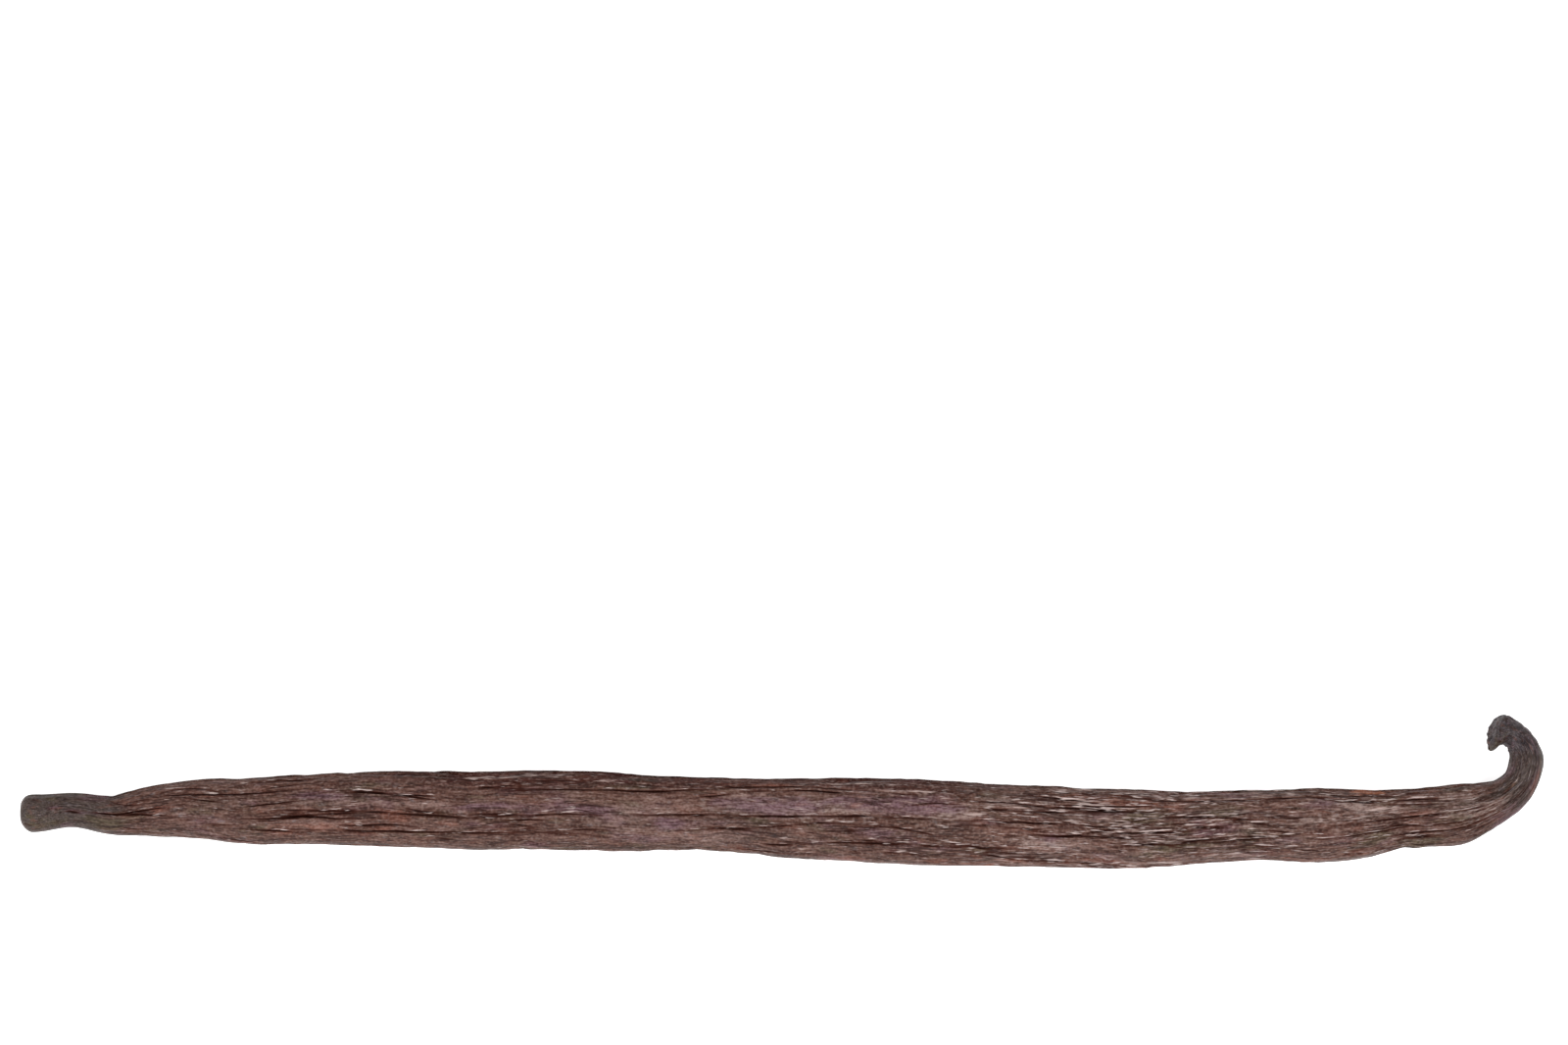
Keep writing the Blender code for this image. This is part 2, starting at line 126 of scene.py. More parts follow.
# What only the fine skin has. Depths and half-widths are millimetres, and a layer of noise
# is (height, cells along, cells round), as in the form.
skin = {
    "ringStretches": ((1.5, 38), (14.0, 276), (146.0, 44), (162.0, 70)),  # start, rings
    "capRings": 16,
    "around": 214,  # points in a ring
    "topFiner": 0.045,  # moves the points of a ring from its underside to its top
    "linePoints": 2400,  # on the middle line, and over the upper side
    "acrossPoints": 400,
    "islandHeight": 0.11,
    "islandEdge": 0.30,  # how soon an island is flat: lower is flatter
    "islandSunk": 0.7,  # the share of its height by which an island is let into the pod
    "creaseDepth": 0.12,
    "creaseSharpness": 6.0,
    # the creases between the islands are darkened with painted shade, at most this much
    "creaseDark": 0.7,
    "comeAndGo": ((1.0, 44, 9),),  # where creases show, and where they don't
    "comeAndGoFrom": (-0.5, 0.5),
    "foldShare": 0.32,  # of the solid's own depth, because these are narrower
    "foldHalfWidth": 0.12,
    "furrowShare": 0.52,
    "furrowHalfWidth": 0.11,
    "lipShare": 0.30,  # how high the lips beside a furrow are, as a share of its depth
    "lipPlace": (2.0, 0.9),  # how far off the furrow's middle a lip is, and how wide, in half-widths
    "litPlace": (1.7, 0.7),  # the same for the part of it that gets a painted highlight, where light would catch it
    "darkDepth": 0.085,  # a furrow this deep has the darkest painted shade
    "haloShare": 0.12,  # how much painted shade lies beside a furrow, and how far it reaches, in half-widths
    "haloWidth": 3.4,
    "fade": 0.6,  # how soon a furrow is deep past its ends: lower is sooner
    "fewestRings": 3,  # a strewn furrow over fewer rings of the mesh is left out
    "uneven": ((1.0, 50, 56), (0.5, 150, 90)),  # breaks furrows up into deep and shallow lengths
    "unevenFrom": (-0.6, 0.2),
    "unevenLeast": 0.6,
    "furrows": (  # depth, places (along, across) of the thin dark furrows
        (0.24, ((3.7, -0.04), (5.4, 0.0), (7.0, -0.06), (7.9, -0.1))),
        (0.16, ((8.4, 0.16), (12.0, 0.02), (18.2, -0.26))),
        (0.22, ((9.6, 0.86), (12.0, 0.49), (14.5, 0.34))),
        (0.14, ((14.0, 0.66), (19.4, 0.76), (24.0, 0.5))),
        (0.15, ((18.3, 0.45), (21.0, 0.3), (23.6, 0.26))),
        (0.26, ((23.0, -0.1), (27.2, -0.23), (33.8, -0.13), (41.5, -0.04))),
        (0.12, ((18.6, -0.42), (23.6, -0.42), (27.0, -0.25))),
        (0.16, ((24.8, -0.52), (28.1, -0.57), (31.0, -0.63), (34.5, -0.57))),
        (0.22, ((21.4, -0.84), (24.8, -0.88), (26.9, -0.93))),
        (0.12, ((10.6, -0.44), (11.8, -0.6), (14.9, -0.7))),
        (0.14, ((24.3, 0.74), (27.9, 0.84), (33.0, 0.9))),
        (0.15, ((24.7, 0.47), (27.9, 0.66), (32.5, 0.79))),
        (0.24, ((33.0, 0.47), (39.2, 0.47), (42.9, 0.42), (45.1, 0.35), (49.0, 0.3))),
        (0.18, ((42.5, 0.11), (44.6, 0.02), (47.6, -0.05))),
        (0.24, ((47.0, 0.02), (50.2, -0.04), (54.4, -0.08), (67.7, -0.08))),
        (0.26, ((51.4, -0.18), (55.5, -0.22), (60.3, -0.22))),
        (0.16, ((33.8, -0.44), (38.0, -0.42), (43.1, -0.4), (46.0, -0.45))),
        (0.20, ((45.8, -0.69), (48.9, -0.74))),
        (0.18, ((51.6, -0.38), (55.5, -0.36), (58.0, -0.42))),
        (0.20, ((44.0, 0.93), (49.0, 0.85), (53.3, 0.79), (62.0, 0.8), (69.0, 0.84))),
        (0.18, ((45.5, 0.71), (49.0, 0.65), (55.4, 0.66), (60.0, 0.7))),
        (0.14, ((56.7, -0.6), (60.6, -0.5), (67.7, -0.45))),
        (0.20, ((76.0, 0.63), (80.0, 0.66), (86.0, 0.7), (93.6, 0.62), (102.0, 0.56))),
        (0.15, ((72.5, 0.41), (77.4, 0.52), (81.6, 0.66))),
        (0.22, ((76.0, -0.33), (79.0, -0.36), (81.7, -0.32), (84.8, -0.14))),
        (0.20, ((82.0, -0.68), (85.2, -0.67), (88.0, -0.62))),
        (0.17, ((90.8, -0.52), (93.8, -0.46), (97.4, -0.49))),
        (0.20, ((92.4, -0.12), (95.0, -0.14), (98.6, -0.09))),
        (0.14, ((97.6, 0.33), (101.6, 0.49), (106.0, 0.5))),
        (0.24, ((95.6, -0.74), (98.6, -0.72), (101.6, -0.74))),
        (0.24, ((101.0, 0.08), (106.7, 0.12), (111.4, 0.13))),
        (0.22, ((107.4, 0.05), (110.3, 0.0), (113.4, -0.03), (115.2, 0.01))),
        (0.30, ((112.0, -0.13), (114.7, -0.17), (117.3, -0.17), (120.1, -0.07), (122.6, 0.0))),
        (0.16, ((107.3, 0.37), (109.6, 0.42), (112.0, 0.48))),
        (0.20, ((111.6, 0.38), (115.1, 0.4), (120.6, 0.42))),
        (0.18, ((120.6, 0.15), (124.4, 0.25), (126.6, 0.33), (129.2, 0.38))),
        (0.30, ((128.0, 0.05), (132.0, 0.04), (135.6, -0.02))),
        (0.26, ((121.6, -0.42), (126.1, -0.37), (127.7, -0.4), (130.4, -0.37), (132.4, -0.3))),
        (0.17, ((101.0, -0.31), (104.8, -0.28), (107.0, -0.33))),
        (0.18, ((101.4, -0.48), (105.0, -0.45), (107.8, -0.54), (110.0, -0.46))),
        (0.18, ((107.2, -0.66), (109.6, -0.74), (112.0, -0.84))),
        (0.14, ((115.2, 0.62), (117.2, 0.7), (119.0, 0.68))),
        (0.22, ((141.0, 0.86), (143.8, 0.78), (147.5, 0.66), (152.7, 0.62), (156.2, 0.42))),
        (0.28, ((134.9, 0.17), (136.2, 0.2), (137.6, 0.17))),
        (0.24, ((137.4, 0.06), (139.4, 0.05))),
        (0.18, ((157.6, -0.14), (160.8, -0.04), (164.0, 0.02), (169.0, 0.06))),
        (0.18, ((157.6, 0.55), (162.3, 0.45), (168.0, 0.5))),
        (0.17, ((151.8, -0.14), (154.0, -0.2), (157.2, -0.3))),
        (0.20, ((152.4, -0.76), (154.4, -0.62), (156.5, -0.6), (161.0, -0.7))),
        (0.16, ((162.0, 0.25), (166.0, 0.3), (171.0, 0.36), (173.5, 0.4))),
        (0.16, ((161.0, -0.2), (165.0, -0.14), (170.0, -0.1), (173.5, 0.0))),
        (0.15, ((163.0, -0.62), (167.0, -0.6), (171.0, -0.55), (173.5, -0.5))),
    ),
    "fineSeed": 23,
    "laneWander": 0.35,  # the skin's lanes wander less than the solid's ridges do
    "fineWander": ((0.004, 40, 10), (0.0025, 110, 30)),
    "scattered": (  # how many, then the least and most of each measure
        {"count": 320, "length": (5.0, 24.0), "depth": (0.03, 0.10), "halfWidth": (0.09, 0.12),
         "drift": 0.6},
        {"count": 950, "length": (1.5, 6.0), "depth": (0.015, 0.06), "halfWidth": (0.08, 0.10),
         "drift": 0.25},
    ),
    "pucker": ((0.055, 80, 14), (0.035, 190, 30), (0.018, 330, 66)),
    "grainPacked": 3.0,  # how many times shorter the grain is at both ends
    "packedTo": (2.0, 6.0),
    "calmIslands": 0.7,  # how much lower the islands and the puckers are where it is calm
    "calmPucker": 0.6,
    "calm": (  # smooth places: along, across, half-length, half-width in across
        (86.0, 0.36, 14.0, 0.30),
        (70.0, 0.2, 9.0, 0.30),
        (73.0, -0.55, 7.0, 0.20),
        (46.0, 0.2, 9.0, 0.14),
        (33.0, -0.4, 6.0, 0.14),
        (104.5, 0.35, 5.0, 0.18),
        (116.0, -0.4, 4.0, 0.14),
        (149.5, 0.5, 4.0, 0.2),
        (1.0, 0.0, 5.5, 1.2),
    ),
    "strewnLeast": 0.2,  # the share of the strewn furrows that are cut outside crowded places
    "crowded": ((128.0, 28.0),),  # much wrinkled: along, half-length
    "knobFrom": (171.6, 174.0),  # the broken stalk: no furrows, but lumps
    "neckFrom": (155.0, 169.0),  # towards it the furrows get shallow
    "neckShare": 0.55,
    "knobLumps": ((0.13, 1.1), (0.10, 0.5), (0.05, 0.26)),  # height, size
    "faceTilt": 0.34,  # how far the broken face leans back, for each millimetre of its height
    "faceTiltOver": 2.2,  # the length of stalk that leans with it
    "faceForward": -0.08,
    "headForward": 0.34,  # how far the hook's head is pushed on along the stalk
    "headFrom": (170.5, 174.0),
    "chinOut": 0.06,  # how much further on the face's inner corner stands
    "tornDepth": 0.22,  # height and size of the lumps on the torn face
    "tornCell": 0.36,
    "tornBefore": (1.1, 0.2),  # how far before the end it starts to be torn, and is fully
    "tornRim": 0.6,  # how much less torn its rim is than its middle
    "edgeFrom": 0.05,  # the painted shade at the edge, as the sine of how far up and down the side it reaches
    "edgeReach": 0.3,
    "edgeBroader": 0.3,  # and how much more on the hook's side
    "hookSideFrom": (-0.1, 0.1),
    "mattEdge": 2.0,  # times the edge's painted shade mark, so the skin is matt a little further in
    "undersideFurrows": 0.4,  # how much paler the furrows are underneath
    "dryTo": (5.0, 18.0),  # greyer from the blossom end to here, and from here to the hook
    "dryFrom": (158.0, 170.0),
    "charredFrom": (170.5, 174.5),
    "stains": {  # along, across, half-length, half-width in across
        "mauve": (
            (53.5, 0.14, 4.0, 0.12), (63.0, 0.05, 4.0, 0.16), (74.0, -0.2, 4.5, 0.2),
            (71.5, -0.7, 2.5, 0.14), (86.0, 0.36, 11.0, 0.26), (101.0, 0.36, 4.0, 0.3),
            (95.5, -0.3, 2.2, 0.22), (145.0, 0.6, 2.0, 0.16), (132.0, -0.14, 2.6, 0.12),
            (35.0, 0.4, 5.0, 0.16), (9.0, 0.75, 2.5, 0.3), (166.5, -0.85, 3.0, 0.2),
            (169.5, 0.8, 1.5, 0.2),
        ),
        "rust": (
            (42.5, -0.2, 2.5, 0.3), (111.5, -0.02, 3.6, 0.15), (91.5, -0.97, 3.6, 0.1),
            (117.0, 0.75, 2.4, 0.16), (98.5, 0.88, 2.6, 0.12), (151.2, 0.97, 2.6, 0.09),
            (156.6, 0.1, 1.8, 0.2), (143.5, -0.85, 4.0, 0.14), (169.0, -0.75, 1.6, 0.25),
            (15.3, 0.13, 1.8, 0.22), (33.5, -0.5, 6.0, 0.2), (80.0, 0.9, 9.0, 0.12),
            (62.0, 0.86, 5.0, 0.12), (126.0, 0.6, 5.0, 0.16), (106.0, -0.9, 6.0, 0.12),
            (120.0, -0.8, 7.0, 0.14), (122.0, 0.72, 2.0, 0.12),
        ),
        "olive": (
            (79.0, 0.15, 4.0, 0.16), (46.5, -0.15, 2.6, 0.16), (128.5, -0.35, 2.6, 0.3),
            (150.5, -0.5, 2.6, 0.24), (10.0, -0.3, 3.0, 0.5), (70.0, 0.8, 3.0, 0.16),
            (125.0, 0.3, 4.0, 0.22), (157.0, -0.85, 4.0, 0.2), (137.0, -0.5, 3.5, 0.2),
            (24.0, 0.2, 3.0, 0.2), (176.8, 0.75, 0.8, 0.4), (3.0, -0.6, 2.0, 0.4),
            (134.0, 0.35, 4.0, 0.14),
        ),
        # paler patches of skin; the one at 150 mm along is a painted broad sheen
        "pale": (
            (150.0, 0.5, 5.0, 0.26), (86.0, 0.3, 10.0, 0.3), (124.0, -0.1, 4.0, 0.16),
            (160.5, 0.62, 3.0, 0.2), (104.0, 0.3, 4.0, 0.2), (109.0, 0.62, 2.5, 0.14),
            (113.5, -0.35, 3.0, 0.16), (162.5, 0.1, 4.0, 0.4), (168.5, -0.1, 3.0, 0.5),
            (144.0, 0.1, 3.0, 0.16),
        ),
        "tan": (
            (150.8, 0.94, 2.6, 0.10),
        ),
        # painted highlights: bright glinting streaks at the listed places
        "silver": (
            (152.0, 0.37, 3.2, 0.16), (119.5, 0.68, 3.4, 0.08), (112.5, 0.5, 2.6, 0.06),
            (122.5, 0.2, 2.6, 0.08), (126.5, -0.25, 3.0, 0.06), (37.0, 0.12, 3.0, 0.05),
            (141.5, 0.86, 2.2, 0.06), (59.0, 0.3, 2.0, 0.05), (107.0, 0.28, 2.0, 0.05),
            (136.0, 0.4, 4.0, 0.06), (52.0, 0.88, 6.0, 0.04), (66.0, 0.8, 4.0, 0.04),
            (93.0, 0.86, 6.0, 0.05), (101.0, 0.74, 4.0, 0.04), (148.0, 0.2, 4.0, 0.05),
            (144.0, 0.6, 3.0, 0.05), (58.0, 0.9, 4.0, 0.04),
        ),
    },
    "strip": {  # the darker strip beyond a long fold at the upper edge: its own dark red-brown, with shade painted in where the skin turns away
        "fold": ((38, 0.74), (60, 0.6), (74, 0.67), (84, 0.8), (94, 0.7), (104, 0.62), (110, 0.62)),
        "wide": 0.1,
        "from": (36.0, 48.0),
        "to": (100.0, 112.0),
    },
    "dents": (  # as the knobs
        (173.4, 0.46, 0.25, 1.2, -0.12), (174.9, 0.47, 1.3, 1.6, -0.18), (172.3, 0.0, 1.6, 1.6, 0.24),
        (172.7, 0.5, 0.7, 1.8, -0.20), (174.1, 0.5, 0.5, 1.6, -0.15), (169.2, 0.5, 1.0, 1.8, -0.18),
        (163.2, 0.5, 3.2, 2.2, -0.22), (156.0, 0.47, 1.2, 1.4, 0.28),
        (155.0, 0.03, 0.15, 0.3, 0.2), (158.0, 0.02, 2.5, 0.9, -0.08),
        (10.2, 0.02, 0.6, 1.0, -0.12), (142.6, 0.06, 0.25, 0.4, 0.1), (126.0, 0.46, 0.5, 0.5, 0.12),
        (36.5, 0.04, 0.4, 0.8, -0.12),
    ),
}


# A table of (place, value) read as one smooth curve: cubic pieces that pass through each
# value, with the slope between its neighbours.
def smoothThrough(at, table):
    knots, values = np.array(table, float).T
    slopes = np.gradient(values, knots)
    i = np.clip(np.searchsorted(knots, at, side="right") - 1, 0, len(knots) - 2)
    span = knots[i + 1] - knots[i]
    t = np.clip((at - knots[i]) / span, 0.0, 1.0)
    rest = 1.0 - t
    fromLeft = rest**2 * ((1.0 + 2.0 * t) * values[i] + t * span * slopes[i])
    fromRight = t**2 * ((3.0 - 2.0 * t) * values[i + 1] - rest * span * slopes[i + 1])
    return fromLeft + fromRight


# 0 before the first place, 1 after the second, and a smooth rise between them.
def smoothStep(at, low, high):
    t = np.clip((at - low) / (high - low), 0.0, 1.0)
    return t * t * (3.0 - 2.0 * t)


# The middle line as close points: the body's points, then an arc for the hook, then a
# straight stub. Gives the distance along it, x, y and heading.
def middleLine():
    turn = np.radians(np.linspace(*form["hookTurnDeg"], form["hookSteps"]))
    circle = np.column_stack([np.cos(turn), np.sin(turn)])
    hook = np.array(form["hookCentre"]) + form["hookRadius"] * circle
    onward = np.array([-np.sin(turn[-1]), np.cos(turn[-1])])
    points = np.vstack([form["bodyLine"], hook, hook[-1] + form["stubLength"] * onward])
    steps = np.hypot(*np.diff(points, axis=0).T)
    knots = np.concatenate([[0.0], np.cumsum(steps)])
    close = np.linspace(0.0, knots[-1], skin["linePoints"])
    x = smoothThrough(close, np.column_stack([knots, points[:, 0]]))
    y = smoothThrough(close, np.column_stack([knots, points[:, 1]]))
    along = np.concatenate([[0.0], np.cumsum(np.hypot(np.diff(x), np.diff(y)))])
    heading = np.unwrap(np.arctan2(np.gradient(y, along), np.gradient(x, along)))
    return along, x, y, heading


# A closed end: rings at even angles on a quarter of a superellipse, with the middle sunk by
# a parabola. Gives the distance from the tip, the share of the full radius and the sink.
def capPlaces(cap):
    angle = np.linspace(0.0, np.pi / 2, skin["capRings"] + 1)[:-1]
    share = np.sin(angle) ** (2.0 / cap["power"])
    inward = cap["length"] * (1.0 - np.cos(angle) ** (2.0 / cap["power"]))
    scar = cap["scar"] * np.clip(1.0 - (share / form["scarShare"]) ** 2, 0.0, None)
    return inward, share, scar


# Every ring from blossom to stalk: distance along, share of the full radius, shift along.
def ringPlaces(length):
    inward, share, scar = capPlaces(form["blossomCap"])
    inwardEnd, shareEnd, scarEnd = capPlaces(form["stalkCap"])
    last = length - form["stalkCap"]["length"]
    starts = [start for start, rings in skin["ringStretches"]] + [last]
    stretches = [
        np.linspace(start, end, rings, endpoint=False)
        for (start, rings), end in zip(skin["ringStretches"], starts[1:])
    ]
    between = np.concatenate(stretches + [[last]])
    along = np.concatenate([inward, between, (length - inwardEnd)[::-1]])
    radius = np.concatenate([share, np.ones(len(between)), shareEnd[::-1]])
    shift = np.concatenate([scar, np.zeros(len(between)), -scarEnd[::-1]])
    return along, radius, shift


# The angle in the section for a share of the way round, evened out for a flat section:
# 0 faces the +Y edge, and a quarter faces up.
def sectionAngle(around):
    return 2.0 * np.pi * around + form["sectionEvening"] * np.sin(4.0 * np.pi * around)


# Cosine and sine of a superellipse: each to the power of 2 / sectionPower, with its sign.
def powerCosSin(angle):
    cos, sin = np.cos(angle), np.sin(angle)
    power = 2.0 / form["sectionPower"]
    return np.sign(cos) * np.abs(cos) ** power, np.sign(sin) * np.abs(sin) ** power


# The share of the way round for a place across the upper side, as the inverse of the above.
def roundFromAcross(across):
    waysRound = np.linspace(0.0, 0.5, skin["acrossPoints"])
    return np.interp(-np.asarray(across), -powerCosSin(sectionAngle(waysRound))[0], waysRound)


# Random heights from -1 to 1 on a lattice over the skin, smoothed between its points, which
# meet themselves all the way round. Layers of it are added up.
def layeredNoise(random, along, around, layers):
    total = 0.0
    for height, cellsAlong, cellsAround in layers:
        heights = random.uniform(-1.0, 1.0, (cellsAlong + 2, cellsAround))
        row, column = np.clip(along, 0.0, 1.0) * cellsAlong, around * cellsAround
        i, j = np.floor(row).astype(int), np.floor(column).astype(int)
        u, v = row - i, column - j
        u, v = u * u * (3.0 - 2.0 * u), v * v * (3.0 - 2.0 * v)
        left, right = j % cellsAround, (j + 1) % cellsAround
        near = heights[i, left] * (1.0 - v) + heights[i, right] * v
        far = heights[i + 1, left] * (1.0 - v) + heights[i + 1, right] * v
        total = total + height * (near * (1.0 - u) + far * u)
    return total


# Random heights from -1 to 1 in space, smoothed between the corners of cubic cells.
def blockNoise(points, cell, seed, corners=24):
    table = np.random.default_rng(seed).uniform(-1.0, 1.0, (corners, corners, corners))
    place = points / cell
    low = np.floor(place).astype(int)
    part = place - low
    part = part * part * (3.0 - 2.0 * part)
    total = 0.0
    for corner in np.ndindex(2, 2, 2):
        index = np.moveaxis((low + corner) % corners, -1, 0)
        weight = np.prod(np.where(corner, part, 1.0 - part), axis=-1)
        total = total + weight * table[tuple(index)]
    return total


# A soft patch round a place: a bell curve along the pod times one round it.
def patch(distance, offRound, at, halfLength, halfRound):
    return np.exp(-(((distance - at) / halfLength) ** 2) - (offRound / halfRound) ** 2)


# Cuts one furrow into the skin: a bell-shaped groove with a low lip on both sides, which runs
# out at both ends and is uneven between them. It paints shade into the groove and, fainter, beside
# it, and marks the lip on its hook side for a painted highlight. "centre" is its place round the pod at
# each ring in "rows".
def cutFurrow(fields, lane, rows, centre, through, depth, halfWidth):
    off = (np.mod(lane[rows] - centre[:, None] + 0.5, 1.0) - 0.5) * fields["girth"][rows] / halfWidth
    run = np.sin(np.pi * np.clip(through, 0.0, 1.0))[:, None] ** skin["fade"] * fields["uneven"][rows]
    lipOff, lipWide = skin["lipPlace"]
    litOff, litWide = skin["litPlace"]
    groove = np.exp(-(off**2))
    halo = np.exp(-((off / skin["haloWidth"]) ** 2))
    lips = np.exp(-(((np.abs(off) - lipOff) / lipWide) ** 2))
    lit = np.exp(-(((off + litOff) / litWide) ** 2))
    # painted shade in and beside the groove, darker the deeper it is, and the lit lip's painted highlight
    dark = run * np.minimum(depth / skin["darkDepth"], 1.0)
    shadow = (1.0 - skin["haloShare"]) * groove + skin["haloShare"] * halo
    fields["relief"][rows] += depth * run * (skin["lipShare"] * lips - groove)
    fields["furrow"][rows] = np.maximum(fields["furrow"][rows], dark * shadow)
    fields["lip"][rows] = np.maximum(fields["lip"][rows], dark * lit)


# The rings that a stretch along the pod covers, and how far along it each of them is.
def ringsBetween(ringAlong, start, end):
    rows = slice(*np.searchsorted(ringAlong, (start, end)))
    return rows, (ringAlong[rows] - start) / (end - start)


# The furrows that the tables place: the solid's own folds, narrower, and the thin ones.
def cutPlacedFurrows(fields, ringAlong, around):
    kinds = (
        (form["folds"], skin["foldShare"], skin["foldHalfWidth"]),
        (skin["furrows"], skin["furrowShare"], skin["furrowHalfWidth"]),
    )
    for furrows, share, halfWidth in kinds:
        for depth, places in furrows:
            rows, through = ringsBetween(ringAlong, places[0][0], places[-1][0])
            centre = roundFromAcross(smoothThrough(ringAlong[rows], places))
            cutFurrow(fields, around, rows, centre, through, share * depth, halfWidth)


# Furrows strewn at random, which follow the lanes of the skin with a slight drift: all of
# them where it is crowded, a share of them elsewhere, and hardly any where it is calm.
def strewFurrows(fields, ringAlong, lanes, busy, random):
    length = ringAlong[-1]
    for kind in skin["scattered"]:
        for _ in range(kind["count"]):
            middle, place, chance = random.uniform(size=3)
            reach = random.uniform(*kind["length"])
            depth = random.uniform(*kind["depth"])
            halfWidth = random.uniform(*kind["halfWidth"])
            drift, bend = random.uniform(-1.0, 1.0, 2) * kind["drift"]
            start = middle * (length + reach) - reach
            rows, through = ringsBetween(ringAlong, start, start + reach)
            row = min(int(np.searchsorted(ringAlong, start + reach / 2)), len(ringAlong) - 1)
            column = int(np.argmin(np.abs(np.mod(lanes[row] - place + 0.5, 1.0) - 0.5)))
            if chance > busy[row, column] or rows.stop - rows.start < skin["fewestRings"]:
                continue
            sideways = drift * (through - 0.5) + bend * through * (1.0 - through)
            centre = place + sideways / fields["girth"][row, column]
            cutFurrow(fields, lanes, rows, centre, through, depth, halfWidth)


# How far each point near an end moves along the pod, for its distance along and its place
# sideways and upwards in its section. Both ends are cut at a slant, with their corners off
# by a parabola, the hook's head is pushed on, and the broken face leans back at the top.
def endShift(along, length, sideways, upwards, halfHeight):
    outer, inner = np.minimum(sideways, 0.0) ** 2, np.maximum(sideways, 0.0) ** 2
    slant = form["stalkSlant"] * sideways - form["stalkCornerGone"] * outer
    slant = slant + (form["stalkCornerOut"] + skin["chinOut"]) * inner
    shift = slant * np.clip((along - length) / form["stalkSlantOver"] + 1.0, 0.0, 1.0)
    nearBlossom = np.clip(1.0 - along / form["blossomSlantOver"], 0.0, 1.0)
    shift = shift + form["blossomCornerGone"] * outer * nearBlossom
    shift = shift + skin["headForward"] * smoothStep(along, *skin["headFrom"])
    nearFace = np.clip((along - length) / skin["faceTiltOver"] + 1.0, 0.0, 1.0) ** 1.5
    return shift + nearFace * (skin["faceForward"] - skin["faceTilt"] * (upwards + halfHeight))


